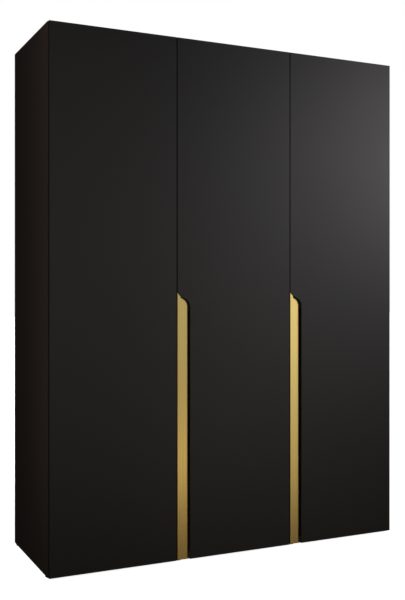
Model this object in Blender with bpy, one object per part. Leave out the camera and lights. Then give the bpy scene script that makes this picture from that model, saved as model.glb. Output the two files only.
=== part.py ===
"""Three-door wardrobe: flat-pack carcass, three overlay slab doors, two let-in hook strips.

Frame: origin under the middle of the outer box at floor level, +Z up, the doors face -Y, width along X.
Every board, sheet, strip, glide and hinge half is its own closed solid; boards stand 0.2-0.3 mm apart
where the real ones touch.
"""
import math

import bmesh
import bpy
from mathutils import Matrix

# --- overall size, metres ---------------------------------------------------------------------
WIDTH = 1.500
HEIGHT = 2.000
DEPTH = 0.512
FIT = 0.0003

# --- boards -----------------------------------------------------------------------------------
BOARD = 0.016
BACK_SHEET = 0.003
GLIDE_H = 0.005
ARRIS = 0.0006
SHEET_FIT = 0.0002
FRONT_Y = -DEPTH / 2
DOOR_T = 0.016
DOOR_AIR = 0.002
CARCASS_Y = FRONT_Y + DOOR_T + DOOR_AIR
REAR_Y = 0.2520
BASE_Z = GLIDE_H
PLINTH_H = 0.050
FLOOR_PANEL_Z = BASE_Z + PLINTH_H
SIDE_IN = WIDTH / 2 - BOARD
BAY_X = 0.250

# --- doors ------------------------------------------------------------------------------------
SEAM = 0.003
EDGE_INSET = 0.0015
DOOR_Z0 = 0.007
DOOR_Z1 = 1.998
DOOR_ARRIS = 0.0008

# --- handle cut-out, measured from the seam line ----------------------------------------------
CUT_W = 0.0545
CUT_TOP_SEAM_Z = 1.0225
CUT_TOP_EDGE_Z = 0.9907
CUT_R_OUT = 0.024
CUT_R_IN = 0.032
STRIP_T = 0.002
STRIP_LAP = 0.024
STRIP_TOP_Z = 1.040
STRIP_BOTTOM_Z = 0.0045
LIP_AIR = 0.0008
LIP_T = 0.0015
LIP_W = 0.0114
LIP_BACK = 0.0005
LIP_BOTTOM_Z = 0.0072
LIP_GAP = 0.0006
GROOVE_LIP = 0.0045
GROOVE_IN = 0.0095
GROOVE_Z0 = 0.030
GROOVE_Z1 = 0.965

# --- cup hinges, offsets from the door's front hinge-side corner ------------------------------
PIVOT_A = 0.0055
PIVOT_B = 0.0055
CUP_A = 0.0225
CUP_R = 0.0173
CUP_RIM_R = 0.0188
CUP_WALL = 0.0015
CUP_FLOOR = 0.0012
CUP_DEEP = 0.0113
CUP_SIDES = 28
BORE_R = CUP_R + FIT
BORE_DEEP = CUP_DEEP + FIT
FLANGE_T = 0.0010
ARM_HALF = 0.0070
PLATE_T = 0.0032
HINGE_Z = (0.112, 0.692, 1.292, 1.890)

# --- interior ---------------------------------------------------------------------------------
HAT_SHELF_Z = 1.672
RAIL_Z = 1.618
RAIL_Y = 0.010
RAIL_H = 0.030
RAIL_W = 0.015
RAIL_WALL = 0.0012
SHELF_COUNT = 4
SHELF_FRONT_Y = -0.218
SMOOTH_ANGLE = math.radians(30)


for old in list(bpy.data.objects):
    bpy.data.objects.remove(old, do_unlink=True)


def material(name, colour, metallic, roughness):
    mat = bpy.data.materials.new(name)
    mat.use_nodes = True
    shader = mat.node_tree.nodes["Principled BSDF"]
    shader.inputs["Base Color"].default_value = (colour[0], colour[1], colour[2], 1.0)
    shader.inputs["Metallic"].default_value = metallic
    shader.inputs["Roughness"].default_value = roughness
    return mat


LOOKS = {
    "laminate": ((0.012, 0.011, 0.011), 0.0, 0.42),
    "sheet": ((0.030, 0.028, 0.027), 0.0, 0.60),
    "gold": ((0.62, 0.43, 0.16), 1.0, 0.22),
    "nickel": ((0.62, 0.61, 0.59), 1.0, 0.28),
    "chrome": ((0.75, 0.75, 0.76), 1.0, 0.10),
    "plastic": ((0.015, 0.015, 0.016), 0.0, 0.50),
}


def pivot(name, x):
    """Empty on a door's hinge axis; the door's pieces hang on it."""
    empty = bpy.data.objects.new(name, None)
    empty.location = (x, FRONT_Y + PIVOT_B, HEIGHT / 2)
    bpy.context.scene.collection.objects.link(empty)
    return empty


def new_object(name, bm, look, parent=None, smooth=False):
    """Turn a bmesh in world coordinates into a named object, on its door's pivot if it has one."""
    bmesh.ops.remove_doubles(bm, verts=bm.verts, dist=0.000001)
    bmesh.ops.recalc_face_normals(bm, faces=bm.faces)
    mesh = bpy.data.meshes.new(name)
    if parent is not None:
        bmesh.ops.translate(bm, verts=bm.verts, vec=-parent.location)
    bm.to_mesh(mesh)
    bm.free()
    if smooth:
        mesh.shade_smooth()
        mesh.set_sharp_from_angle(angle=SMOOTH_ANGLE)
    obj = bpy.data.objects.new(name, mesh)
    obj.parent = parent
    bpy.context.scene.collection.objects.link(obj)
    colour, metallic, roughness = LOOKS[look]
    mesh.materials.clear()
    mesh.materials.append(material("mat_" + name, colour, metallic, roughness))
    return obj


def box_bm(x0, x1, y0, y1, z0, z1, arris=0.0):
    bm = bmesh.new()
    size = Matrix.Diagonal((x1 - x0, y1 - y0, z1 - z0, 1.0))
    centre = Matrix.Translation(((x0 + x1) / 2, (y0 + y1) / 2, (z0 + z1) / 2))
    bmesh.ops.create_cube(bm, size=1.0, matrix=centre @ size)
    if arris > 0:
        bmesh.ops.bevel(
            bm,
            geom=list(bm.edges),
            offset=arris,
            affect="EDGES",
            segments=1,
            profile=0.5,
            material=-1,
        )
    return bm


def board(name, x0, x1, y0, y1, z0, z1, look="laminate", arris=ARRIS, parent=None):
    return new_object(name, box_bm(x0, x1, y0, y1, z0, z1, arris), look, parent)


def cylinder_bm(radius, length, segments, matrix):
    bm = bmesh.new()
    bmesh.ops.create_cone(
        bm,
        cap_ends=True,
        cap_tris=False,
        segments=segments,
        radius1=radius,
        radius2=radius,
        depth=length,
        matrix=matrix,
    )
    return bm


def prism_bm(points, low, high, place):
    """Extrude a closed outline; place(u, v, w) turns outline plus height into x, y, z."""
    bm = bmesh.new()
    bottom = [bm.verts.new(place(u, v, low)) for u, v in points]
    top = [bm.verts.new(place(u, v, high)) for u, v in points]
    count = len(points)
    bm.faces.new(bottom)
    bm.faces.new(list(reversed(top)))
    for i in range(count):
        j = (i + 1) % count
        bm.faces.new((bottom[i], bottom[j], top[j], top[i]))
    return bm


def temp_object(bm):
    bmesh.ops.recalc_face_normals(bm, faces=bm.faces)
    mesh = bpy.data.meshes.new("tool")
    bm.to_mesh(mesh)
    bm.free()
    obj = bpy.data.objects.new("tool", mesh)
    bpy.context.scene.collection.objects.link(obj)
    return obj


def combine(bm, other, operation):
    """Return the exact Boolean of two closed bmeshes as one bmesh."""
    base = temp_object(bm)
    tool = temp_object(other)
    step = base.modifiers.new("step", "BOOLEAN")
    step.operation = operation
    step.solver = "EXACT"
    step.object = tool
    graph = bpy.context.evaluated_depsgraph_get()
    graph.update()
    result = bmesh.new()
    result.from_object(base, graph)
    bpy.data.objects.remove(base, do_unlink=True)
    bpy.data.objects.remove(tool, do_unlink=True)
    return result


def inset_outline(points, distance):
    """Move a counter-clockwise outline inward by one distance all round."""
    moved = []
    count = len(points)
    for i in range(count):
        ax, az = points[i - 1]
        bx, bz = points[i]
        cx, cz = points[(i + 1) % count]
        d1 = math.hypot(bx - ax, bz - az)
        d2 = math.hypot(cx - bx, cz - bz)
        n1 = (-(bz - az) / d1, (bx - ax) / d1)
        n2 = (-(cz - bz) / d2, (cx - bx) / d2)
        scale = distance / (1.0 + n1[0] * n2[0] + n1[1] * n2[1])
        moved.append((bx + (n1[0] + n2[0]) * scale, bz + (n1[1] + n2[1]) * scale))
    return moved


def corner_arc(before, corner, after, radius, segments):
    """Round one corner of an outline with a tangent arc."""
    u1 = (before[0] - corner[0], before[1] - corner[1])
    u2 = (after[0] - corner[0], after[1] - corner[1])
    l1 = math.hypot(u1[0], u1[1])
    l2 = math.hypot(u2[0], u2[1])
    u1 = (u1[0] / l1, u1[1] / l1)
    u2 = (u2[0] / l2, u2[1] / l2)
    half = math.acos(u1[0] * u2[0] + u1[1] * u2[1]) / 2
    bis = (u1[0] + u2[0], u1[1] + u2[1])
    lb = math.hypot(bis[0], bis[1])
    away = radius / math.sin(half)
    cx = corner[0] + bis[0] / lb * away
    cz = corner[1] + bis[1] / lb * away
    reach = radius / math.tan(half)
    p1 = (corner[0] + u1[0] * reach, corner[1] + u1[1] * reach)
    p2 = (corner[0] + u2[0] * reach, corner[1] + u2[1] * reach)
    a1 = math.atan2(p1[1] - cz, p1[0] - cx)
    a2 = math.atan2(p2[1] - cz, p2[0] - cx)
    turn = (a2 - a1 + math.pi) % (2 * math.pi) - math.pi
    arc = []
    for i in range(segments + 1):
        a = a1 + turn * i / segments
        arc.append((cx + radius * math.cos(a), cz + radius * math.sin(a)))
    return arc


def slab_bm(outline):
    """Door slab: eased front arris, square back edge."""
    bm = bmesh.new()
    rings = []
    front = inset_outline(outline, DOOR_ARRIS)
    rings.append([bm.verts.new((x, FRONT_Y, z)) for x, z in front])
    rings.append([bm.verts.new((x, FRONT_Y + DOOR_ARRIS, z)) for x, z in outline])
    rings.append([bm.verts.new((x, FRONT_Y + DOOR_T, z)) for x, z in outline])
    count = len(outline)
    for low, high in zip(rings, rings[1:]):
        for i in range(count):
            j = (i + 1) % count
            bm.faces.new((low[i], low[j], high[j], high[i]))
    bm.faces.new(rings[0])
    bm.faces.new(list(reversed(rings[2])))
    return bm


def cut_top(seam_x):
    """Upper edge of the handle cut-out: two arcs from the door's free edge to the cut edge."""
    x0 = seam_x + SEAM / 2
    cut_x = seam_x + CUT_W
    slope = (CUT_TOP_EDGE_Z - CUT_TOP_SEAM_Z) / CUT_W
    outer = (x0, CUT_TOP_SEAM_Z + slope * (x0 - seam_x))
    inner = (cut_x, CUT_TOP_EDGE_Z)
    first = corner_arc((x0, DOOR_Z1), outer, inner, CUT_R_OUT, 7)
    second = corner_arc(outer, inner, (cut_x, DOOR_Z0), CUT_R_IN, 8)
    return first + second


def door(name, x0, x1, hinge_x, side, parent, seam_x=None, grip=False):
    """One overlay door; side is +1 when the door runs to +X from its hinge edge."""
    if seam_x is None:
        outline = [(x0, DOOR_Z0), (x1, DOOR_Z0), (x1, DOOR_Z1), (x0, DOOR_Z1)]
    else:
        cut_x = seam_x + CUT_W
        outline = [(x1, DOOR_Z0), (x1, DOOR_Z1), (x0, DOOR_Z1)]
        outline += cut_top(seam_x)
        outline.append((cut_x, DOOR_Z0))
    bm = slab_bm(outline)
    back = FRONT_Y + DOOR_T
    if seam_x is not None:
        pocket_y = back - STRIP_T - FIT
        pocket_x = seam_x + CUT_W + STRIP_LAP + FIT
        pocket = box_bm(x0 - 0.01, pocket_x, pocket_y, back + 0.01, -0.05, STRIP_TOP_Z + FIT)
        bm = combine(bm, pocket, "DIFFERENCE")
        groove = box_bm(
            cut_x - 0.005,
            cut_x + GROOVE_IN,
            FRONT_Y + GROOVE_LIP,
            pocket_y + 0.001,
            GROOVE_Z0,
            GROOVE_Z1,
        )
        bm = combine(bm, groove, "DIFFERENCE")
    if grip:
        rebate = box_bm(
            x1 - GROOVE_IN,
            x1 + 0.01,
            FRONT_Y + GROOVE_LIP,
            back + 0.01,
            GROOVE_Z0,
            GROOVE_Z1,
        )
        bm = combine(bm, rebate, "DIFFERENCE")
    turn = Matrix.Rotation(math.radians(90), 4, "X")
    for z in HINGE_Z:
        centre = Matrix.Translation((hinge_x + side * CUP_A, back - BORE_DEEP / 2 + 0.005, z))
        bore = cylinder_bm(BORE_R, BORE_DEEP + 0.010, CUP_SIDES, centre @ turn)
        bm = combine(bm, bore, "DIFFERENCE")
    return new_object(name, bm, "laminate", parent)


def handle_strip(name, seam_x, parent):
    """Gold hook strip: a web let into the door's back, a wall beside the seam, a front lip to pull."""
    back = FRONT_Y + DOOR_T
    x0 = seam_x + SEAM / 2
    x1 = seam_x + CUT_W + STRIP_LAP
    web = box_bm(x0, x1, back - STRIP_T, back, STRIP_BOTTOM_Z, STRIP_TOP_Z)
    wall_x = x0 + LIP_AIR
    lip_y = FRONT_Y + LIP_BACK
    wall_y = back - STRIP_T / 2
    hook = [
        (wall_x, lip_y),
        (wall_x + LIP_W, lip_y),
        (wall_x + LIP_W, lip_y + LIP_T),
        (wall_x + LIP_T, lip_y + LIP_T),
        (wall_x + LIP_T, wall_y),
        (wall_x, wall_y),
    ]
    hook = prism_bm(hook, LIP_BOTTOM_Z, CUT_TOP_SEAM_Z + 0.010, lambda u, v, w: (u, v, w))
    above = [(x, z - LIP_GAP) for x, z in cut_top(seam_x)]
    above = [(x - LIP_GAP, z) for x, z in above]
    above += [(x1, above[-1][1]), (x1, STRIP_TOP_Z + 0.05), (above[0][0], STRIP_TOP_Z + 0.05)]
    tool = prism_bm(above, FRONT_Y - 0.01, back + 0.01, lambda u, v, w: (u, w, v))
    hook = combine(hook, tool, "DIFFERENCE")
    new_object(name, combine(web, hook, "UNION"), "gold", parent)


def cup_bm(place):
    """Hinge cup with its screw flange; place(a, z, b) gives x, y, z."""
    back_b = DOOR_T + FIT
    inner_r = CUP_R - CUP_WALL
    outer = []
    rim = []
    inner = []
    for i in range(CUP_SIDES):
        t = 2 * math.pi * i / CUP_SIDES
        outer.append((CUP_A + CUP_R * math.cos(t), CUP_R * math.sin(t)))
        rim.append((CUP_A + CUP_RIM_R * math.cos(t), CUP_RIM_R * math.sin(t)))
        inner.append((CUP_A + inner_r * math.cos(t), inner_r * math.sin(t)))
    plate = [
        (0.0170, -0.0290),
        (0.0350, -0.0290),
        (0.0375, -0.0265),
        (0.0375, 0.0265),
        (0.0350, 0.0290),
        (0.0170, 0.0290),
        (0.0145, 0.0265),
        (0.0145, -0.0265),
    ]
    body = prism_bm(outer, back_b - CUP_DEEP, back_b + FLANGE_T / 2, place)
    disc = prism_bm(rim, back_b, back_b + FLANGE_T, place)
    wings = prism_bm(plate, back_b + 0.0001, back_b + FLANGE_T - 0.0001, place)
    hollow = prism_bm(inner, back_b - CUP_DEEP + CUP_FLOOR, back_b + FLANGE_T + 0.002, place)
    bm = combine(disc, wings, "UNION")
    bm = combine(bm, body, "UNION")
    return combine(bm, hollow, "DIFFERENCE")


def arm_bm(place, panel_a):
    """Cranked arm on its mounting plate; panel_a is the board face measured from the door edge."""
    seat = panel_a + FIT
    deck = seat + PLATE_T
    arm = [
        (deck - 0.0008, 0.0860),
        (deck - 0.0008, 0.0385),
        (0.0195, 0.0300),
        (0.0195, 0.0085),
        (0.0210, 0.0070),
        (0.0270, 0.0070),
        (0.0305, 0.0110),
        (0.0305, 0.0290),
        (deck + 0.0108, 0.0430),
        (deck + 0.0108, 0.0830),
        (deck + 0.0080, 0.0860),
    ]
    plate = [
        (0.0480, -0.0310),
        (0.0620, -0.0310),
        (0.0640, -0.0290),
        (0.0640, -0.0100),
        (0.0760, -0.0100),
        (0.0760, 0.0100),
        (0.0640, 0.0100),
        (0.0640, 0.0290),
        (0.0620, 0.0310),
        (0.0480, 0.0310),
        (0.0460, 0.0290),
        (0.0460, -0.0290),
    ]
    bar = prism_bm(arm, -ARM_HALF, ARM_HALF, lambda a, b, z: place(a, z, b))
    base = prism_bm(plate, seat, deck, lambda b, z, a: place(a, z, b))
    return combine(bar, base, "UNION")


def hinge_set(tag, hinge_x, side, panel_a, parent):
    """Four cups on the door and four arms on the board beside it."""
    for number, z in enumerate(HINGE_Z, start=1):

        def place(a, h, b, z=z):
            return (hinge_x + side * a, FRONT_Y + b, z + h)

        cup_name = "hinge_cup_%s_%d" % (tag, number)
        arm_name = "hinge_arm_%s_%d" % (tag, number)
        new_object(cup_name, cup_bm(place), "nickel", parent, smooth=True)
        new_object(arm_name, arm_bm(place, panel_a), "nickel")


# --- carcass ----------------------------------------------------------------------------------
half = WIDTH / 2
board("side_panel_left", -half, -SIDE_IN, CARCASS_Y, REAR_Y, BASE_Z, HEIGHT)
board("side_panel_right", SIDE_IN, half, CARCASS_Y, REAR_Y, BASE_Z, HEIGHT)
inner_x = SIDE_IN - FIT
top_z = HEIGHT - BOARD
board("top_panel", -inner_x, inner_x, CARCASS_Y, REAR_Y, top_z, HEIGHT)
deck_z = FLOOR_PANEL_Z + BOARD
board("floor_panel", -inner_x, inner_x, CARCASS_Y, REAR_Y, FLOOR_PANEL_Z, deck_z)
part_x0 = BAY_X - BOARD / 2
part_x1 = BAY_X + BOARD / 2
board("partition", part_x0, part_x1, CARCASS_Y, REAR_Y, deck_z + FIT, top_z - FIT)
plinth_top = FLOOR_PANEL_Z - FIT
board("plinth_front", -inner_x, inner_x, CARCASS_Y + 0.002, CARCASS_Y + 0.018, BASE_Z, plinth_top)
board("plinth_back", -inner_x, inner_x, REAR_Y - 0.020, REAR_Y - 0.004, BASE_Z, plinth_top)
brace_y0 = CARCASS_Y + 0.018 + FIT
brace_y1 = REAR_Y - 0.020 - FIT
board("plinth_brace", part_x0, part_x1, brace_y0, brace_y1, BASE_Z + 0.001, plinth_top)

# --- interior ---------------------------------------------------------------------------------
shelf_x1 = part_x0 - FIT
board("hat_shelf", -inner_x, shelf_x1, SHELF_FRONT_Y, REAR_Y - 0.001, HAT_SHELF_Z, HAT_SHELF_Z + BOARD)
clear = (top_z - deck_z - SHELF_COUNT * BOARD) / (SHELF_COUNT + 1)
for index in range(SHELF_COUNT):
    z0 = deck_z + clear * (index + 1) + BOARD * index
    board(
        "shelf_right_%d" % (index + 1),
        part_x1 + 0.001,
        SIDE_IN - 0.001,
        SHELF_FRONT_Y,
        REAR_Y - 0.001,
        z0,
        z0 + BOARD,
    )

# --- back: three thin sheets nailed on, one cover strip over the joint in the wide bay --------
sheet_y0 = REAR_Y + SHEET_FIT
sheet_y1 = sheet_y0 + BACK_SHEET
sheet_z0 = BASE_Z + 0.045
sheet_z1 = HEIGHT - 0.002
sheet_gap = 0.0010
sheet_runs = (
    ("back_sheet_left", -half + 0.002, -BAY_X - sheet_gap),
    ("back_sheet_middle", -BAY_X + sheet_gap, BAY_X - sheet_gap / 2),
    ("back_sheet_right", BAY_X + sheet_gap / 2, half - 0.002),
)
for sheet_name, sheet_x0, sheet_x1 in sheet_runs:
    board(sheet_name, sheet_x0, sheet_x1, sheet_y0, sheet_y1, sheet_z0, sheet_z1, "sheet", 0.0)
tee = [
    (-0.0075, DEPTH / 2 - 0.0006),
    (-0.0007, DEPTH / 2 - 0.0006),
    (-0.0007, sheet_y0 + SHEET_FIT),
    (0.0007, sheet_y0 + SHEET_FIT),
    (0.0007, DEPTH / 2 - 0.0006),
    (0.0075, DEPTH / 2 - 0.0006),
    (0.0065, DEPTH / 2),
    (-0.0065, DEPTH / 2),
]
strip = prism_bm(tee, sheet_z0, sheet_z1, lambda u, v, w: (-BAY_X + u, v, w))
new_object("back_joint_strip", strip, "plastic")

# --- glides -----------------------------------------------------------------------------------
spots = []
for gx in (-half + BOARD / 2, half - BOARD / 2):
    spots.append((gx, CARCASS_Y + 0.030))
    spots.append((gx, REAR_Y - 0.030))
spots.append((BAY_X, CARCASS_Y + 0.010))
spots.append((BAY_X, REAR_Y - 0.012))
labels = ("left_front", "left_back", "right_front", "right_back", "middle_front", "middle_back")
for label, (gx, gy) in zip(labels, spots):
    rings = ((0.0068, 0.0), (0.0078, 0.0012), (0.0078, GLIDE_H - FIT))
    bm = bmesh.new()
    loops = []
    for radius, z in rings:
        loop = []
        for i in range(16):
            t = 2 * math.pi * i / 16
            loop.append(bm.verts.new((gx + radius * math.cos(t), gy + radius * math.sin(t), z)))
        loops.append(loop)
    for low, high in zip(loops, loops[1:]):
        for i in range(16):
            j = (i + 1) % 16
            bm.faces.new((low[i], low[j], high[j], high[i]))
    bm.faces.new(loops[0])
    bm.faces.new(loops[-1])
    new_object("glide_" + label, bm, "plastic", smooth=True)


# --- hanging rail -----------------------------------------------------------------------------
def oval(width, height, segments):
    """Upright oval outline in y, z about the rail's centre line."""
    points = []
    straight = (height - width) / 2
    for i in range(segments + 1):
        t = math.pi * i / segments
        points.append((width / 2 * math.cos(t), straight + width / 2 * math.sin(t)))
    for i in range(segments + 1):
        t = math.pi + math.pi * i / segments
        points.append((width / 2 * math.cos(t), -straight + width / 2 * math.sin(t)))
    return points


def on_rail(u, v, w):
    return (w, RAIL_Y + u, RAIL_Z + v)


rail_x0 = -SIDE_IN + 0.0035
rail_x1 = part_x0 - 0.0035
tube = prism_bm(oval(RAIL_W, RAIL_H, 7), rail_x0, rail_x1, on_rail)
core = prism_bm(
    oval(RAIL_W - 2 * RAIL_WALL, RAIL_H - 2 * RAIL_WALL, 7),
    rail_x0 - 0.01,
    rail_x1 + 0.01,
    on_rail,
)
new_object("hanging_rail", combine(tube, core, "DIFFERENCE"), "chrome", smooth=True)


def socket(name, wall_x, side):
    """Open-top rail socket screwed to a board face; side points into the bay."""
    low = wall_x + side * FIT
    plate_end = low + side * 0.0025
    cup_end = low + side * 0.0130
    plate = [
        (-0.0125, -0.0190),
        (0.0, -0.0235),
        (0.0125, -0.0190),
        (0.0125, 0.0240),
        (0.0090, 0.0275),
        (-0.0090, 0.0275),
        (-0.0125, 0.0240),
    ]
    shell = []
    bore = []
    drop = (RAIL_H - RAIL_W) / 2
    wide = RAIL_W / 2 + 0.0030
    slot = RAIL_W / 2 + FIT
    for i in range(9):
        t = math.pi + math.pi * i / 8
        shell.append((wide * math.cos(t), -drop + wide * math.sin(t)))
        bore.append((slot * math.cos(t), -drop + slot * math.sin(t)))
    shell += [(wide, 0.0160), (-wide, 0.0160)]
    bore += [(slot, 0.0300), (-slot, 0.0300)]
    base = prism_bm(plate, min(low, plate_end), max(low, plate_end), on_rail)
    cup = prism_bm(shell, min(low, cup_end), max(low, cup_end), on_rail)
    cut_low = plate_end
    cut_high = cup_end + side * 0.01
    hole = prism_bm(bore, min(cut_low, cut_high), max(cut_low, cut_high), on_rail)
    bm = combine(base, cup, "UNION")
    bm = combine(bm, hole, "DIFFERENCE")
    new_object(name, bm, "chrome", smooth=True)


socket("rail_socket_left", -SIDE_IN, 1)
socket("rail_socket_right", part_x0, -1)

# --- doors, handle strips and hinges ----------------------------------------------------------
edge_l = -half + EDGE_INSET
edge_r = half - EDGE_INSET
gap = SEAM / 2
mid_edge = BAY_X - gap
pivot_l = pivot("pivot_left", edge_l + PIVOT_A)
pivot_m = pivot("pivot_middle", mid_edge - PIVOT_A)
pivot_r = pivot("pivot_right", edge_r - PIVOT_A)
door("door_left", edge_l, -mid_edge - SEAM, edge_l, 1, pivot_l, grip=True)
door("door_middle", -mid_edge, mid_edge, mid_edge, -1, pivot_m, seam_x=-BAY_X)
door("door_right", mid_edge + SEAM, edge_r, edge_r, -1, pivot_r, seam_x=BAY_X)
handle_strip("handle_strip_middle", -BAY_X, pivot_m)
handle_strip("handle_strip_right", BAY_X, pivot_r)
hinge_set("left", edge_l, 1, BOARD - EDGE_INSET, pivot_l)
hinge_set("middle", mid_edge, -1, BOARD / 2 - gap, pivot_m)
hinge_set("right", edge_r, -1, BOARD - EDGE_INSET, pivot_r)
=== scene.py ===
# %% [markdown]
# # A three-door wardrobe in satin black with gold handle strips
# The boards, doors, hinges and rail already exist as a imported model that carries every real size.
# This script loads that model as a fixed frame, gives each surface its finish, and adds the small
# pieces a maker fits last: screws, shelf pins, bumpers, cover caps and back nails.

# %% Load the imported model
import math

import bmesh
import bpy
from mathutils import Matrix, Vector


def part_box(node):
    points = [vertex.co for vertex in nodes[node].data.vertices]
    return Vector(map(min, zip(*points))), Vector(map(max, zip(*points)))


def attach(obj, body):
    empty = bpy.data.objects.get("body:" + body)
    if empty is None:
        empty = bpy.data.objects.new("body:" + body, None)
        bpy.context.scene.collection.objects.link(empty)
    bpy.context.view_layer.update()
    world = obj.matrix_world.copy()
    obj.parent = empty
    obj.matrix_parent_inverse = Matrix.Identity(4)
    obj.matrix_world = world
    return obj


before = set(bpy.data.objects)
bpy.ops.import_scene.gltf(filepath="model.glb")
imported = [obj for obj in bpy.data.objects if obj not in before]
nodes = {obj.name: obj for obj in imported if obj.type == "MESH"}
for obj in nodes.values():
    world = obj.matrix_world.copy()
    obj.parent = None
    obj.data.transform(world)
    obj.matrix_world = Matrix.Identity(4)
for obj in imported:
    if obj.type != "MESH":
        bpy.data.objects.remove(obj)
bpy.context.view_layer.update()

# %% [markdown]
# ## Where things are
# Screws and pins belong on certain faces of certain boards. Their places could be typed in, but then
# a change of size in the model would leave them hanging in the air. So the boards' boxes are read
# first, and every place below is worked out from them. The doors face -Y and +Z is up.

# %% Read the boards' faces
DOORS = ("left", "middle", "right")
HINGES = (1, 2, 3, 4)
SHELVES = (1, 2, 3, 4)
side_low, side_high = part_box("side_panel_left")
part_low, part_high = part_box("partition")
right_low, right_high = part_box("side_panel_right")
hat_low, hat_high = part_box("hat_shelf")
deck_low, deck_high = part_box("floor_panel")
roof_low, roof_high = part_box("top_panel")
door_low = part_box("door_left")[0]
sheet_low, sheet_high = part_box("back_sheet_left")
CARCASS_FRONT = side_low.y
print("front of the doors at y = %.4f m, carcass front at y = %.4f m" % (door_low.y, CARCASS_FRONT))

# %% [markdown]
# ## Small tools for making pieces
# A piece starts as a bmesh, gets its material and stays at the origin with its place in its mesh.
# Small round parts are spun from a profile by `turned`, as on a lathe. `stamp` copies a finished
# shape to many places, which is how one arm screw becomes forty-eight. Linked copies as separate
# objects would do as well, but one joined piece for each job keeps the list of pieces short.

# %% Piece helpers
SHARP_ANGLE = math.radians(30)
TURN_SIDES = 16
WELD = 0.00001


def link(name, bm, material, body):
    """Turn a bmesh into a piece that rides on a body of the frame."""
    mesh = bpy.data.meshes.new(name)
    bm.to_mesh(mesh)
    bm.free()
    mesh.materials.append(material)
    mesh.shade_smooth()
    mesh.set_sharp_from_angle(angle=SHARP_ANGLE)
    piece = bpy.data.objects.new(name, mesh)
    bpy.context.scene.collection.objects.link(piece)
    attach(piece, body)
    print(name, "faces:", len(mesh.polygons))


def stamp(target, pattern, matrix):
    """Add a copy of the bmesh called pattern to target, placed by matrix."""
    mesh = bpy.data.meshes.new("stamp")
    pattern.to_mesh(mesh)
    mesh.transform(matrix)
    target.from_mesh(mesh)
    bpy.data.meshes.remove(mesh)


def facing(direction, at):
    """Matrix that turns +Z to a direction and moves the origin to a point."""
    turn = Vector(direction).to_track_quat("Z", "Y").to_matrix().to_4x4()
    return Matrix.Translation(at) @ turn


def turned(profile, steps=TURN_SIDES):
    """Spin a profile of (radius, height) points about Z into a round shape."""
    bm = bmesh.new()
    verts = [bm.verts.new((r, 0.0, h)) for r, h in profile]
    edges = [bm.edges.new(pair) for pair in zip(verts, verts[1:])]
    bmesh.ops.spin(
        bm,
        geom=verts + edges,
        cent=(0, 0, 0),
        axis=(0, 0, 1),
        angle=math.tau,
        steps=steps,
        use_merge=True,
    )
    bmesh.ops.remove_doubles(bm, verts=bm.verts, dist=WELD)
    bmesh.ops.recalc_face_normals(bm, faces=bm.faces)
    return bm


print("sides of a small turned part:", TURN_SIDES)

# %% [markdown]
# ## Shared surface effects
# Two effects come up on several finishes, so each is a node group with named inputs and outputs.
# **Pore grain** is the fine pebble of a pressed foil or melamine film: two sizes of noise give a
# height for the bump and a small spread of roughness. **Settled dust** is a faint pale film that
# lies only on faces that look up, broken into patches. Painted images could carry both, but noise on
# Object coordinates needs no unwrapping, has no seams and never repeats.

# %% Node helpers
PORES_PER_METRE = 1500.0


def new_group(name, inputs, outputs):
    """A shader node group with its number sockets, its input node and its output node."""
    group = bpy.data.node_groups.new(name, "ShaderNodeTree")
    for label, default in inputs:
        socket = group.interface.new_socket(label, in_out="INPUT", socket_type="NodeSocketFloat")
        socket.default_value = default
    for label in outputs:
        group.interface.new_socket(label, in_out="OUTPUT", socket_type="NodeSocketFloat")
    start = group.nodes.new("NodeGroupInput")
    end = group.nodes.new("NodeGroupOutput")
    return group, start, end


def maths(tree, operation, first, second=None, clamp=False):
    """One Math node; an argument is a number or a socket."""
    node = tree.nodes.new("ShaderNodeMath")
    node.operation = operation
    node.use_clamp = clamp
    for slot_index, value in enumerate((first, second)):
        if value is None:
            continue
        if isinstance(value, (int, float)):
            node.inputs[slot_index].default_value = value
        else:
            tree.links.new(value, node.inputs[slot_index])
    return node.outputs[0]


def noise(tree, vector, scale, detail, roughness=0.5):
    """One Noise Texture node; scale is in bumps for each metre, roughly."""
    node = tree.nodes.new("ShaderNodeTexNoise")
    node.inputs["Scale"].default_value = scale
    node.inputs["Detail"].default_value = detail
    node.inputs["Roughness"].default_value = roughness
    tree.links.new(vector, node.inputs["Vector"])
    return node.outputs["Fac"]


print("finest noise on a board: about", round(1000 / PORES_PER_METRE, 2), "mm")


# %% Pore grain
def make_pore_grain():
    group, start, end = new_group(
        "pore_grain",
        (("Pores", 1.0), ("Clouds", 1.0), ("Base Roughness", 0.4), ("Spread", 0.05)),
        ("Height", "Roughness"),
    )
    coord = group.nodes.new("ShaderNodeTexCoord").outputs["Object"]
    pores = noise(group, coord, PORES_PER_METRE, 2.0)
    peel = noise(group, coord, 260.0, 2.0)
    clouds = noise(group, coord, 2.3, 3.0)
    fine = maths(group, "MULTIPLY", pores, start.outputs["Pores"])
    height = maths(group, "ADD", fine, maths(group, "MULTIPLY", peel, 0.6))
    swing = maths(group, "SUBTRACT", maths(group, "MULTIPLY", clouds, start.outputs["Clouds"]), 0.5)
    change = maths(group, "MULTIPLY", swing, start.outputs["Spread"])
    rough = maths(group, "ADD", start.outputs["Base Roughness"], change, clamp=True)
    group.links.new(height, end.inputs["Height"])
    group.links.new(rough, end.inputs["Roughness"])
    return group


PORE_GRAIN = make_pore_grain()
print("group:", PORE_GRAIN.name)


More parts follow.
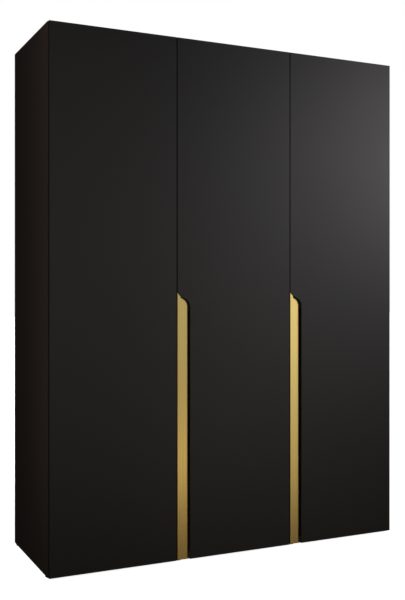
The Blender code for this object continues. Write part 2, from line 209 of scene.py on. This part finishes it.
# %% Settled dust
def make_settled_dust():
    group, start, end = new_group("settled_dust", (("Amount", 0.5),), ("Mask",))
    coords = group.nodes.new("ShaderNodeTexCoord")
    split = group.nodes.new("ShaderNodeSeparateXYZ")
    group.links.new(coords.outputs["Normal"], split.inputs[0])
    upward = maths(group, "POWER", maths(group, "MAXIMUM", split.outputs["Z"], 0.0), 6.0)
    patches = noise(group, coords.outputs["Object"], 9.0, 5.0, 0.65)
    specks = noise(group, coords.outputs["Object"], 420.0, 2.0)
    field = maths(group, "MULTIPLY", patches, specks)
    mask = maths(group, "MULTIPLY", upward, maths(group, "MULTIPLY", field, start.outputs["Amount"]))
    group.links.new(maths(group, "MINIMUM", mask, 1.0), end.inputs["Mask"])
    return group


SETTLED_DUST = make_settled_dust()
print("group:", SETTLED_DUST.name)


# %% [markdown]
# ## Starting a finish
# Every finish starts the same way: one Principled shader with a plain colour, metallic and roughness.
# What changes over the surface is linked over those values afterwards, and what doesn't stays a plain
# number on the shader.

# %% Material helpers
def new_material(name, colour, metallic, roughness):
    """A material, its node tree and its Principled shader."""
    material = bpy.data.materials.new(name)
    material.use_nodes = True
    shader = material.node_tree.nodes["Principled BSDF"]
    shader.inputs["Base Color"].default_value = (*colour, 1.0)
    shader.inputs["Metallic"].default_value = metallic
    shader.inputs["Roughness"].default_value = roughness
    return material, material.node_tree, shader


def bump(tree, shader, height, distance):
    """Feed a height through a Bump node to the shader; distance is in metres."""
    node = tree.nodes.new("ShaderNodeBump")
    node.inputs["Strength"].default_value = 1.0
    node.inputs["Distance"].default_value = distance
    tree.links.new(height, node.inputs["Height"])
    tree.links.new(node.outputs["Normal"], shader.inputs["Normal"])


def use_group(tree, group, **values):
    """Place a group in a tree and set its inputs; an underscore stands for a space."""
    node = tree.nodes.new("ShaderNodeGroup")
    node.node_tree = group
    for label, value in values.items():
        node.inputs[label.replace("_", " ")].default_value = value
    return node


def mix_colour(tree, factor, first, second):
    """Mix two colours; each is an RGB triple or a socket."""
    node = tree.nodes.new("ShaderNodeMix")
    node.data_type = "RGBA"
    tree.links.new(factor, node.inputs["Factor"])
    for label, value in (("A", first), ("B", second)):
        socket = [s for s in node.inputs if s.name == label and s.type == "RGBA"][0]
        if isinstance(value, tuple):
            socket.default_value = (*value, 1.0)
        else:
            tree.links.new(value, socket)
    return [s for s in node.outputs if s.type == "RGBA"][0]


print("material slots to fill on the packed nodes:", len(nodes))

# %% [markdown]
# ## Black board finishes
# The doors carry a satin foil: nearly black, smooth, with a broad soft sheen. The carcass boards
# are melamine film of a slightly warmer black and a coarser press. Cut board edges are closed with
# a plastic band; on the doors that band is matt, so the cut-outs look almost without light. A second
# material on the edge faces would do it too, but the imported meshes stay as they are. So a mask made
# from the surface normal picks the edges: on a door everything that doesn't look forwards or
# backwards is an edge.

# %% Black boards
DUST_COLOUR = (0.16, 0.15, 0.14)
FILM_DEPTH = 0.00002


def black_board(name, face, band, face_axis, pores, dust):
    """A face and a band are each a (colour, roughness) pair."""
    colour, roughness = face
    band_colour, band_roughness = band
    material, tree, shader = new_material(name, colour, 0.0, roughness)
    grain = use_group(tree, PORE_GRAIN, Pores=pores, Base_Roughness=roughness, Spread=0.06)
    dusty = use_group(tree, SETTLED_DUST, Amount=dust)
    coords = tree.nodes.new("ShaderNodeTexCoord")
    split = tree.nodes.new("ShaderNodeSeparateXYZ")
    tree.links.new(coords.outputs["Normal"], split.inputs[0])
    flat = maths(tree, "ABSOLUTE", split.outputs[face_axis])
    edge = maths(tree, "LESS_THAN", flat, 0.5)
    clean = mix_colour(tree, edge, colour, band_colour)
    dusted = mix_colour(tree, dusty.outputs["Mask"], clean, DUST_COLOUR)
    tree.links.new(dusted, shader.inputs["Base Color"])
    shift = maths(tree, "MULTIPLY", edge, band_roughness - roughness)
    rough = maths(tree, "ADD", grain.outputs["Roughness"], shift)
    rough = maths(tree, "ADD", rough, dusty.outputs["Mask"], clamp=True)
    tree.links.new(rough, shader.inputs["Roughness"])
    bump(tree, shader, grain.outputs["Height"], FILM_DEPTH)
    return material


FOIL_FACE = ((0.0016, 0.0016, 0.0016), 0.30)
FOIL_BAND = ((0.0022, 0.0020, 0.0019), 0.66)
FILM_FACE = ((0.0130, 0.0108, 0.0094), 0.42)
FILM_BAND = ((0.0090, 0.0080, 0.0075), 0.38)
DOOR_FOIL = black_board("door_foil", FOIL_FACE, FOIL_BAND, "Y", 0.6, 0.0)
WALL_BOARD = black_board("wall_board", FILM_FACE, FILM_BAND, "X", 1.0, 0.2)
FLAT_BOARD = black_board("flat_board", FILM_FACE, FILM_BAND, "Z", 1.0, 0.7)
PLINTH_BOARD = black_board("plinth_board", FILM_FACE, FILM_BAND, "Y", 1.0, 0.2)
for node_name in ("side_panel_left", "side_panel_right", "partition"):
    nodes[node_name].data.materials[0] = WALL_BOARD
flat_names = ["top_panel", "floor_panel", "hat_shelf"]
flat_names += ["shelf_right_%d" % i for i in SHELVES]
for node_name in flat_names:
    nodes[node_name].data.materials[0] = FLAT_BOARD
for node_name in ("plinth_front", "plinth_back"):
    nodes[node_name].data.materials[0] = PLINTH_BOARD
nodes["plinth_brace"].data.materials[0] = WALL_BOARD
for tag in DOORS:
    nodes["door_" + tag].data.materials[0] = DOOR_FOIL
print("boards that lie flat:", len(flat_names), "doors:", len(DOORS))

# %% [markdown]
# ## Gold anodised strip
# The strip is aluminium, polished along its length and anodised gold. Polishing leaves very fine
# lines that run up the strip. The anisotropic setting of the shader would smear the sheen in the same
# way everywhere; noise that is stretched along Z gives real lines, uneven from place to place. It moves
# the colour and the roughness a little and lifts a bump far too low to see, except in how the sheen
# spreads.

# %% Gold
DEEP_GOLD = (0.84, 0.64, 0.21)
PALE_GOLD = (0.95, 0.75, 0.28)


def gold_anodised():
    material, tree, shader = new_material("gold_anodised", DEEP_GOLD, 1.0, 0.2)
    coords = tree.nodes.new("ShaderNodeTexCoord")
    stretch = tree.nodes.new("ShaderNodeMapping")
    stretch.inputs["Scale"].default_value = (1.0, 1.0, 0.012)
    tree.links.new(coords.outputs["Object"], stretch.inputs["Vector"])
    lines = noise(tree, stretch.outputs["Vector"], 2600.0, 3.0)
    broad = noise(tree, stretch.outputs["Vector"], 160.0, 2.0)
    spread = maths(tree, "MULTIPLY", maths(tree, "ADD", lines, broad), 0.08)
    tree.links.new(maths(tree, "ADD", spread, 0.11), shader.inputs["Roughness"])
    tone = mix_colour(tree, lines, DEEP_GOLD, PALE_GOLD)
    tree.links.new(tone, shader.inputs["Base Color"])
    bump(tree, shader, lines, 0.000004)
    return material


GOLD = gold_anodised()
for tag in ("middle", "right"):
    nodes["handle_strip_" + tag].data.materials[0] = GOLD
print("gold strips:", 2)


# %% [markdown]
# ## Plated and moulded small parts
# Hinges are pressed steel with a dull nickel plate, the rail is chromed tube, screws are zinc
# plated, and glides, caps and the joint strip are black moulded plastic. A plate is never even, so
# one function makes all three metals from a blotchy noise of a different scale, and a plain grey
# metal is avoided. The plastic reuses the pore grain with deeper pores, like a spark-eroded mould.

# %% Metals and plastics
def plated(name, colour, roughness, spread, scale):
    material, tree, shader = new_material(name, colour, 1.0, roughness)
    coords = tree.nodes.new("ShaderNodeTexCoord")
    blotch = noise(tree, coords.outputs["Object"], scale, 4.0, 0.6)
    rough = maths(tree, "ADD", maths(tree, "MULTIPLY", blotch, spread), roughness - spread / 2)
    tree.links.new(rough, shader.inputs["Roughness"])
    darker = tuple(c * 0.82 for c in colour)
    tree.links.new(mix_colour(tree, blotch, darker, colour), shader.inputs["Base Color"])
    bump(tree, shader, blotch, 0.00001)
    return material


def moulded(name, colour, roughness):
    material, tree, shader = new_material(name, colour, 0.0, roughness)
    grain = use_group(tree, PORE_GRAIN, Pores=1.6, Base_Roughness=roughness, Spread=0.10)
    tree.links.new(grain.outputs["Roughness"], shader.inputs["Roughness"])
    bump(tree, shader, grain.outputs["Height"], 0.00004)
    return material


NICKEL = plated("nickel_plate", (0.62, 0.60, 0.57), 0.30, 0.12, 90.0)
CHROME = plated("chrome_tube", (0.78, 0.78, 0.80), 0.09, 0.06, 14.0)
ZINC = plated("zinc_plate", (0.66, 0.67, 0.70), 0.34, 0.16, 260.0)
BLACK_PLASTIC = moulded("black_plastic", (0.012, 0.012, 0.013), 0.48)
PAD = moulded("bumper_pad", (0.20, 0.20, 0.20), 0.30)
for tag in DOORS:
    for number in HINGES:
        nodes["hinge_cup_%s_%d" % (tag, number)].data.materials[0] = NICKEL
        nodes["hinge_arm_%s_%d" % (tag, number)].data.materials[0] = NICKEL
for node_name in ("hanging_rail", "rail_socket_left", "rail_socket_right"):
    nodes[node_name].data.materials[0] = CHROME
nodes["back_joint_strip"].data.materials[0] = BLACK_PLASTIC
for node_name in nodes:
    if node_name.startswith("glide_"):
        nodes[node_name].data.materials[0] = BLACK_PLASTIC
print("plated and moulded finishes set")


# %% [markdown]
# ## Hardboard back
# The back is thin hardboard. Its inner face is lacquered black; its outer face, against the wall,
# is left raw, a mottled brown of pressed fibre. Two materials would need the sheet's faces split
# between them, so one material shows both, chosen by which way the surface looks.

# %% Hardboard
BACK_LACQUER = (0.012, 0.011, 0.010)
FIBRE_DARK = (0.085, 0.047, 0.024)
FIBRE_PALE = (0.215, 0.135, 0.075)
FIBRE_STAIN = (0.110, 0.062, 0.032)


def hardboard():
    material, tree, shader = new_material("hardboard", BACK_LACQUER, 0.0, 0.5)
    coords = tree.nodes.new("ShaderNodeTexCoord")
    split = tree.nodes.new("ShaderNodeSeparateXYZ")
    tree.links.new(coords.outputs["Normal"], split.inputs[0])
    raw = maths(tree, "GREATER_THAN", split.outputs["Y"], 0.5)
    fibre = noise(tree, coords.outputs["Object"], 340.0, 6.0, 0.75)
    mottle = noise(tree, coords.outputs["Object"], 7.0, 4.0, 0.6)
    brown = mix_colour(tree, fibre, FIBRE_DARK, FIBRE_PALE)
    brown = mix_colour(tree, maths(tree, "MULTIPLY", mottle, 0.5), brown, FIBRE_STAIN)
    tree.links.new(mix_colour(tree, raw, BACK_LACQUER, brown), shader.inputs["Base Color"])
    rough = maths(tree, "ADD", maths(tree, "MULTIPLY", raw, 0.35), 0.48)
    tree.links.new(rough, shader.inputs["Roughness"])
    bump(tree, shader, maths(tree, "MULTIPLY", fibre, maths(tree, "ADD", raw, 0.1)), 0.00025)
    return material


HARDBOARD = hardboard()
for tag in DOORS:
    nodes["back_sheet_" + tag].data.materials[0] = HARDBOARD
print("back sheets:", len(DOORS))


# %% [markdown]
# ## A cross-head screw
# A screw head seen in furniture is a low dome with a cross recess. The dome starts as a disc that is
# raised in three steps, each ring a little smaller. The recess could be cut out with a Boolean, which
# leaves untidy faces on a part this small. Here it is pressed in: an inset face on top is drawn to a
# cross by pulling every second pair of its points towards the axis, and is then pushed down.

# %% Screw head pattern
DOME_STEPS = ((0.35, 1.0), (0.40, 0.90), (0.25, 0.72))
CROSS_WAIST = 0.42


def screw_head(radius, height):
    bm = bmesh.new()
    bmesh.ops.create_circle(bm, cap_ends=True, segments=TURN_SIDES, radius=radius)
    for lift, scale in DOME_STEPS:
        top = [f for f in bm.faces if len(f.verts) == TURN_SIDES][-1:]
        result = bmesh.ops.extrude_face_region(bm, geom=top)
        ring = [v for v in result["geom"] if isinstance(v, bmesh.types.BMVert)]
        bmesh.ops.delete(bm, geom=top, context="FACES_ONLY")
        bmesh.ops.translate(bm, verts=ring, vec=(0, 0, height * lift))
        bmesh.ops.scale(bm, verts=ring, vec=(scale, scale, 1))
    cap = max(bm.faces, key=lambda f: f.calc_center_median().z)
    bmesh.ops.inset_region(bm, faces=[cap], thickness=radius * 0.14, use_even_offset=True)
    cap = min((f for f in bm.faces if len(f.verts) == TURN_SIDES), key=lambda f: f.calc_area())
    for corner in cap.verts:
        turn = math.atan2(corner.co.y, corner.co.x) % (math.pi / 2)
        if math.radians(20) < turn < math.radians(60):
            corner.co.x *= CROSS_WAIST
            corner.co.y *= CROSS_WAIST
    result = bmesh.ops.extrude_face_region(bm, geom=[cap])
    ring = [v for v in result["geom"] if isinstance(v, bmesh.types.BMVert)]
    bmesh.ops.delete(bm, geom=[cap], context="FACES_ONLY")
    bmesh.ops.translate(bm, verts=ring, vec=(0, 0, -height * 0.75))
    bmesh.ops.recalc_face_normals(bm, faces=bm.faces)
    return bm


CUP_SCREW = screw_head(0.0034, 0.0013)
print("screw faces:", len(CUP_SCREW.faces))

# %% [markdown]
# ## Hinge screws on the doors
# Each hinge cup is held by two screws through its flange, one above and one below the cup. All of a
# door's screws are one joined piece, because they never move apart and swing with the door.

# %% Cup screws
CUP_SCREW_RISE = 0.0235
CUP_SCREW_INSET = 0.0115
SCREW_SINK = 0.0001
HINGE_SIDE = {"left": 1, "middle": -1, "right": -1}
for tag in DOORS:
    bm = bmesh.new()
    for number in HINGES:
        low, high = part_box("hinge_cup_%s_%d" % (tag, number))
        inner_x = high.x if HINGE_SIDE[tag] > 0 else low.x
        x = inner_x - HINGE_SIDE[tag] * CUP_SCREW_INSET
        middle_z = (low.z + high.z) / 2
        for step in (-1, 1):
            at = Vector((x, high.y - SCREW_SINK, middle_z + step * CUP_SCREW_RISE))
            stamp(bm, CUP_SCREW, facing((0, 1, 0), at))
    link("cup_screws_" + tag, bm, ZINC, tag + "_door")

# %% [markdown]
# ## Screws on the hinge arms
# The mounting plate takes two screws into the side board. The arm itself has two more that the
# fitter turns to set the door: one clamps the depth, one moves the door sideways. They stand on two
# levels, the plate and the arm's crown, so their heights are measured from the board behind them.

# %% Arm screws
ARM_SCREW = screw_head(0.0036, 0.0015)
PLATE_THICKNESS = 0.0032
PLATE_SCREW_BACK = 0.048
PLATE_SCREW_RISE = 0.0210
CROWN_RISE = 0.0108
CROWN_SCREW_BACKS = (0.050, 0.068)
for tag in DOORS:
    bm = bmesh.new()
    side = HINGE_SIDE[tag]
    for number in HINGES:
        low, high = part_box("hinge_arm_%s_%d" % (tag, number))
        middle_z = (low.z + high.z) / 2
        board_x = low.x if side > 0 else high.x
        plate_x = board_x + side * PLATE_THICKNESS
        for step in (-1, 1):
            at = Vector((plate_x, low.y + PLATE_SCREW_BACK, middle_z + step * PLATE_SCREW_RISE))
            stamp(bm, ARM_SCREW, facing((side, 0, 0), at))
        crown_x = plate_x + side * CROWN_RISE
        for back in CROWN_SCREW_BACKS:
            stamp(bm, ARM_SCREW, facing((side, 0, 0), Vector((crown_x, low.y + back, middle_z))))
    link("arm_screws_" + tag, bm, ZINC, "carcass")

# %% [markdown]
# ## Shelf pins and the rows of pin holes
# The four shelves of the right bay lie on nickel pins pushed into rows of 5 mm holes, so they can be
# moved. A real hole is a pit, and cutting it would change the imported board. So each unused hole is a
# thin black dish with a low rim, which stands 0.3 mm proud; its black is painted shade in place of the
# shaded inside of a hole.

# %% Pin holes
HOLE_PITCH = 0.064
HOLE_DROP = 0.0028
HOLE_SIDES = 12
PIN_ROW_INSET = 0.050
HOLE_PROFILE = (
    (0.0, 0.00005),
    (0.0022, 0.00005),
    (0.0026, 0.00030),
    (0.0029, 0.00030),
    (0.0030, 0.0),
)
# Each dish's black plastic is painted shade for the inside of an open pin hole.
HOLE_SHADE_DISH = turned(HOLE_PROFILE, HOLE_SIDES)
PIN_ROWS_Y = (CARCASS_FRONT + PIN_ROW_INSET, side_high.y - PIN_ROW_INSET)
PIN_WALLS = ((part_high.x, 1), (right_low.x, -1))
shelf_undersides = [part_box("shelf_right_%d" % i)[0].z for i in SHELVES]
holes = bmesh.new()
hole_count = 0
for wall_x, look in PIN_WALLS:
    for row_y in PIN_ROWS_Y:
        for shelf_z in shelf_undersides:
            for step in (-2, -1, 1, 2):
                at = Vector((wall_x, row_y, shelf_z - HOLE_DROP + step * HOLE_PITCH))
                stamp(holes, HOLE_SHADE_DISH, facing((look, 0, 0), at))
                hole_count += 1
link("pin_hole_shades", holes, BLACK_PLASTIC, "carcass")
print("pin holes:", hole_count)

# %% [markdown]
# ## Shelf pins
# A pin shows as a collar against the board and a peg under the shelf. It is turned metal, so it is
# spun from its own profile, and one copy goes to each corner of each shelf.

# %% Shelf pins
PIN_DROP = 0.0044
PIN_PROUD = 0.0002
PIN_PROFILE = (
    (0.0, 0.0),
    (0.0040, 0.0),
    (0.0040, 0.0008),
    (0.0025, 0.0010),
    (0.0025, 0.0075),
    (0.0021, 0.0080),
    (0.0, 0.0080),
)
PIN = turned(PIN_PROFILE)
pins = bmesh.new()
for wall_x, look in PIN_WALLS:
    for row_y in PIN_ROWS_Y:
        for shelf_z in shelf_undersides:
            at = Vector((wall_x + look * PIN_PROUD, row_y, shelf_z - PIN_DROP))
            stamp(pins, PIN, facing((look, 0, 0), at))
link("shelf_pins", pins, NICKEL, "carcass")

# %% [markdown]
# ## Cover caps over the joint fittings
# The fixed boards are drawn together by round cam fittings let into their faces. In use each is
# hidden by a push-in cap: a thin disc with a soft edge. A bevelled cylinder would look the same; a
# spun profile gets there in one step and leaves no hidden underside.

# %% Cover caps
CAP_SIDES = 24
CAP_IN_X = 0.034
CAP_IN_Y = 0.060
CAP = turned(((0.0, 0.0011), (0.0060, 0.0011), (0.0080, 0.0008), (0.0086, 0.0)), CAP_SIDES)
caps = bmesh.new()
for end_x in (hat_low.x + CAP_IN_X, hat_high.x - CAP_IN_X):
    for row_y in (hat_low.y + CAP_IN_Y, hat_high.y - CAP_IN_Y):
        stamp(caps, CAP, facing((0, 0, -1), Vector((end_x, row_y, hat_low.z))))
wide_bay_ends = (deck_low.x + CAP_IN_X, part_low.x - CAP_IN_X)
right_bay_ends = (part_high.x + CAP_IN_X, deck_high.x - CAP_IN_X)
for end_x in wide_bay_ends + right_bay_ends:
    for row_y in (deck_low.y + CAP_IN_Y, deck_high.y - CAP_IN_Y):
        stamp(caps, CAP, facing((0, 0, 1), Vector((end_x, row_y, deck_high.z))))
        stamp(caps, CAP, facing((0, 0, -1), Vector((end_x, row_y, roof_low.z))))
link("cover_caps", caps, BLACK_PLASTIC, "carcass")

# %% [markdown]
# ## Bumpers
# A soft pad at the top and bottom of each door's free edge takes up most of the 2 mm between door
# and board and stops the door from clapping. It is a low dome, spun like the caps, and it rides on the
# door, because it is stuck there and leaves the board when the door opens.

# %% Bumpers
BUMPER_INSET = 0.030
HALF_BOARD = 0.008
BUMPER = turned(((0.0, 0.0017), (0.0022, 0.0016), (0.0036, 0.0011), (0.0042, 0.0)))
for tag in DOORS:
    low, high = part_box("door_" + tag)
    free_x = high.x - BUMPER_INSET if HINGE_SIDE[tag] > 0 else low.x + BUMPER_INSET
    bm = bmesh.new()
    for z in (deck_low.z + HALF_BOARD, roof_high.z - HALF_BOARD):
        stamp(bm, BUMPER, facing((0, 1, 0), Vector((free_x, high.y, z))))
    link("bumpers_" + tag, bm, PAD, tag + "_door")

# %% [markdown]
# ## Back nails
# The back sheets are nailed about every hand's width to the edges of the boards in front of them. A
# nail shows only as a flat head, so a spun disc with eight sides is enough, and two loops lay out the
# upright and the level rows.

# %% Nails
NAIL_SIDES = 8
UPRIGHT_NAILS = 15
UPRIGHT_MARGIN = 0.030
LEVEL_NAILS = 11
LEVEL_MARGIN = 0.060
SEAM_TO_NAIL = 0.004
NAIL = turned(((0.0, 0.0004), (0.0012, 0.0004), (0.0017, 0.0001), (0.0017, 0.0)), NAIL_SIDES)


def spaced(start, end, margin, count):
    """Evenly spaced values between start and end, a margin in from both."""
    step = (end - start - 2 * margin) / (count - 1)
    return [start + margin + step * i for i in range(count)]


nails = bmesh.new()
part_middle_x = (part_low.x + part_high.x) / 2
side_lines = (side_low.x + HALF_BOARD, right_high.x - HALF_BOARD)
seam_lines = (part_middle_x - SEAM_TO_NAIL, part_middle_x + SEAM_TO_NAIL)
for x in side_lines + seam_lines:
    for z in spaced(sheet_low.z, sheet_high.z, UPRIGHT_MARGIN, UPRIGHT_NAILS):
        stamp(nails, NAIL, facing((0, 1, 0), Vector((x, sheet_high.y, z))))
for z in (deck_low.z + HALF_BOARD, roof_low.z + HALF_BOARD):
    for x in spaced(side_low.x, right_high.x, LEVEL_MARGIN, LEVEL_NAILS):
        stamp(nails, NAIL, facing((0, 1, 0), Vector((x, sheet_high.y, z))))
link("back_nails", nails, ZINC, "carcass")

# %% [markdown]
# ## Rail socket screws
# Each end of the hanging rail sits in a chromed socket with a screw above and below its cup. The
# screw head function is used again with a smaller size, rather than a scaled copy of another screw.

# %% Rail socket screws
SOCKET_PLATE = 0.0024
TOP_SCREW_IN = 0.0065
LOW_SCREW_IN = 0.0058
SOCKET_SCREW = screw_head(0.0030, 0.0012)
bm = bmesh.new()
for tag, look in (("left", 1), ("right", -1)):
    low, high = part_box("rail_socket_" + tag)
    plate_x = (low.x if look > 0 else high.x) + look * SOCKET_PLATE
    middle_y = (low.y + high.y) / 2
    for z in (high.z - TOP_SCREW_IN, low.z + LOW_SCREW_IN):
        stamp(bm, SOCKET_SCREW, facing((look, 0, 0), Vector((plate_x, middle_y, z))))
link("socket_screws", bm, ZINC, "carcass")

# %% [markdown]
# ## Camera
# A level camera at mid height looks from the left front. Aiming it up or down would tip the uprights
# towards each other, so it stays level and a small shift of the lens frames the wardrobe. The long
# side of the frame takes the 36 mm of the sensor.

# %% Camera
CAMERA_AT = (-1.604, -3.286, 1.034)
CAMERA_YAW = -25.05
LEVEL = math.radians(90)
LENS = 52.37
camera_data = bpy.data.cameras.new("camera")
camera_data.sensor_fit = "VERTICAL"
camera_data.sensor_height = 36.0
camera_data.lens = LENS
camera_data.shift_x = 0.0176
camera_data.shift_y = -0.0155
camera = bpy.data.objects.new("camera", camera_data)
camera.location = CAMERA_AT
camera.rotation_euler = (LEVEL, 0, math.radians(CAMERA_YAW))
bpy.context.scene.collection.objects.link(camera)
bpy.context.scene.camera = camera
print("camera at", CAMERA_AT)

# %% [markdown]
# ## Floor
# The floor is a plain pale sheet that almost vanishes into the white behind it. It shows to the camera
# but isn't mirrored in the doors and lights nothing, as if the studio floor in front of them were
# covered in dark cloth. A shadow catcher would do this too, but a real sheet also stays in other views.

# %% Floor
FLOOR_HALF = 30.0
bm = bmesh.new()
bmesh.ops.create_grid(bm, x_segments=1, y_segments=1, size=FLOOR_HALF)
floor_mesh = bpy.data.meshes.new("floor")
bm.to_mesh(floor_mesh)
bm.free()
floor_material, _, floor_shader = new_material("pale_floor", (0.55, 0.55, 0.55), 0.0, 0.9)
floor_shader.inputs["Specular IOR Level"].default_value = 0.0
floor_shader.inputs["Emission Color"].default_value = (1.0, 1.0, 1.0, 1.0)
floor_shader.inputs["Emission Strength"].default_value = 0.90
floor_mesh.materials.append(floor_material)
floor = bpy.data.objects.new("floor", floor_mesh)
bpy.context.scene.collection.objects.link(floor)
floor.visible_glossy = False
floor.visible_diffuse = False
print("floor:", 2 * FLOOR_HALF, "m across")

# %% [markdown]
# ## Studio light as soft patches
# A black satin door is hardly lit at all: what is seen on it is what it mirrors. Area lights would
# show as hard-edged panels in the doors. So the room is dim, and soft patches are painted into the
# world instead. Each patch is a bell-shaped glow at a bearing and a height, and a door mirrors it as
# one broad gradient. A bearing of 0 is straight in front of the doors, and +90 is towards +X.


# %% Soft patch group
def make_soft_patch():
    group, start, end = new_group(
        "soft_patch",
        (
            ("Bearing", 0.0),
            ("Height", 0.0),
            ("At Bearing", 0.0),
            ("At Height", 0.0),
            ("Half Width", 0.3),
            ("Half Height", 0.3),
            ("Strength", 1.0),
        ),
        ("Glow",),
    )
    across = maths(group, "SUBTRACT", start.outputs["Bearing"], start.outputs["At Bearing"])
    wrap = group.nodes.new("ShaderNodeMath")
    wrap.operation = "WRAP"
    wrap.inputs[1].default_value = math.pi
    wrap.inputs[2].default_value = -math.pi
    group.links.new(across, wrap.inputs[0])
    upward = maths(group, "SUBTRACT", start.outputs["Height"], start.outputs["At Height"])
    u = maths(group, "DIVIDE", wrap.outputs[0], start.outputs["Half Width"])
    v = maths(group, "DIVIDE", upward, start.outputs["Half Height"])
    far = maths(group, "ADD", maths(group, "MULTIPLY", u, u), maths(group, "MULTIPLY", v, v))
    bell = maths(group, "EXPONENT", maths(group, "MULTIPLY", far, -1.0))
    group.links.new(maths(group, "MULTIPLY", bell, start.outputs["Strength"]), end.inputs["Glow"])
    return group


SOFT_PATCH = make_soft_patch()
print("group:", SOFT_PATCH.name)

# %% The studio's soft patches
# bearing, height, half width and half height in degrees, strength, colour
SOFT_PATCHES = {
    "large softbox, front right": (47.0, 9.3, 11.6, 5.2, 6.6, (1.0, 0.95, 0.975)),
    "small softbox beside it": (30.8, -2.5, 5.4, 7.4, 1.0, (1.0, 0.95, 0.93)),
    "wide dim wall in front": (5.5, 1.5, 16.5, 14.0, 0.54, (1.0, 0.94, 0.87)),
    "lower lip of the large softbox": (40.0, 2.0, 8.0, 2.6, 0.35, (1.0, 0.96, 0.96)),
    "low warm glow": (26.0, -11.2, 5.2, 2.0, 1.05, (1.0, 0.80, 0.54)),
    "brown glow at the floor": (10.0, -19.0, 24.0, 4.0, 0.09, (1.0, 0.50, 0.25)),
    "dim wall, front left": (-38.0, 4.0, 13.0, 14.0, 1.0, (1.0, 0.96, 0.92)),
    "overhead, in front": (10.0, 68.0, 40.0, 12.0, 14.0, (1.0, 0.97, 0.94)),
    "ceiling": (0.0, 90.0, 400.0, 30.0, 1.0, (1.0, 1.0, 1.0)),
    "right side wall": (125.0, 20.0, 24.0, 25.0, 1.6, (1.0, 1.0, 1.0)),
    "left side wall": (-95.0, 25.0, 22.0, 20.0, 0.3, (1.0, 0.9, 0.8)),
}
ROOM_GLOW = (0.012, 0.010, 0.009)
world = bpy.data.worlds.new("studio")
world.use_nodes = True
bpy.context.scene.world = world
tree = world.node_tree
tree.nodes.clear()
axes = tree.nodes.new("ShaderNodeSeparateXYZ")
tree.links.new(tree.nodes.new("ShaderNodeTexCoord").outputs["Generated"], axes.inputs[0])
bearing = maths(tree, "ARCTAN2", axes.outputs["X"], maths(tree, "MULTIPLY", axes.outputs["Y"], -1.0))
height = maths(tree, "ARCSINE", axes.outputs["Z"])
total = tree.nodes.new("ShaderNodeCombineXYZ").outputs[0]
for channel, value in enumerate(ROOM_GLOW):
    total.node.inputs[channel].default_value = value
for at_bearing, at_height, half_width, half_height, strength, colour in SOFT_PATCHES.values():
    patch = use_group(
        tree,
        SOFT_PATCH,
        At_Bearing=math.radians(at_bearing),
        At_Height=math.radians(at_height),
        Half_Width=math.radians(half_width),
        Half_Height=math.radians(half_height),
        Strength=strength,
    )
    tree.links.new(bearing, patch.inputs["Bearing"])
    tree.links.new(height, patch.inputs["Height"])
    tint = tree.nodes.new("ShaderNodeVectorMath")
    tint.operation = "SCALE"
    tint.inputs[0].default_value = colour
    tree.links.new(patch.outputs["Glow"], tint.inputs["Scale"])
    add = tree.nodes.new("ShaderNodeVectorMath")
    add.operation = "ADD"
    tree.links.new(total, add.inputs[0])
    tree.links.new(tint.outputs[0], add.inputs[1])
    total = add.outputs[0]
print("soft patches:", ", ".join(SOFT_PATCHES))

# %% [markdown]
# ## A white ground behind the object
# The dim room lights the object but would make a dark picture around it. Light Path tells whether a
# ray comes straight from the camera. Those rays get plain white, and all others get the room.

# %% Camera rays see plain white
lit = tree.nodes.new("ShaderNodeBackground")
plain = tree.nodes.new("ShaderNodeBackground")
pick = tree.nodes.new("ShaderNodeMixShader")
path = tree.nodes.new("ShaderNodeLightPath")
out = tree.nodes.new("ShaderNodeOutputWorld")
plain.inputs["Color"].default_value = (1.0, 1.0, 1.0, 1.0)
tree.links.new(total, lit.inputs["Color"])
tree.links.new(path.outputs["Is Camera Ray"], pick.inputs[0])
tree.links.new(lit.outputs[0], pick.inputs[1])
tree.links.new(plain.outputs[0], pick.inputs[2])
tree.links.new(pick.outputs[0], out.inputs["Surface"])
print("world nodes:", len(tree.nodes))

# %% [markdown]
# ## Warm strip light beside the left panel
# The left panel is brown near the doors and fades to black at the back. A patch in the world lights
# the whole panel evenly, so a tall, narrow, warm light stands close to its front edge, and its light
# falls off quickly towards the back. It is hidden from the camera and from the gloss of the doors.

# %% Strip light
STRIP_AT = (-1.20, -0.42, 1.45)
TOWARDS_PANEL = math.radians(-90)
strip_data = bpy.data.lights.new("strip_light", "AREA")
strip_data.shape = "RECTANGLE"
strip_data.size = 2.5
strip_data.size_y = 0.12
strip_data.energy = 10.3
strip_data.color = (1.0, 0.83, 0.74)
strip_light = bpy.data.objects.new("strip_light", strip_data)
strip_light.location = STRIP_AT
strip_light.rotation_euler = (0, TOWARDS_PANEL, 0)
strip_light.visible_camera = False
strip_light.visible_glossy = False
bpy.context.scene.collection.objects.link(strip_light)
print("strip light at", STRIP_AT)

# %% [markdown]
# ## Colour and denoising
# The Standard view keeps blacks and golds as they are set, where a filmic one would lift the blacks.

# %% Finish
bpy.context.scene.view_settings.view_transform = "Standard"
bpy.context.scene.cycles.use_denoising = True
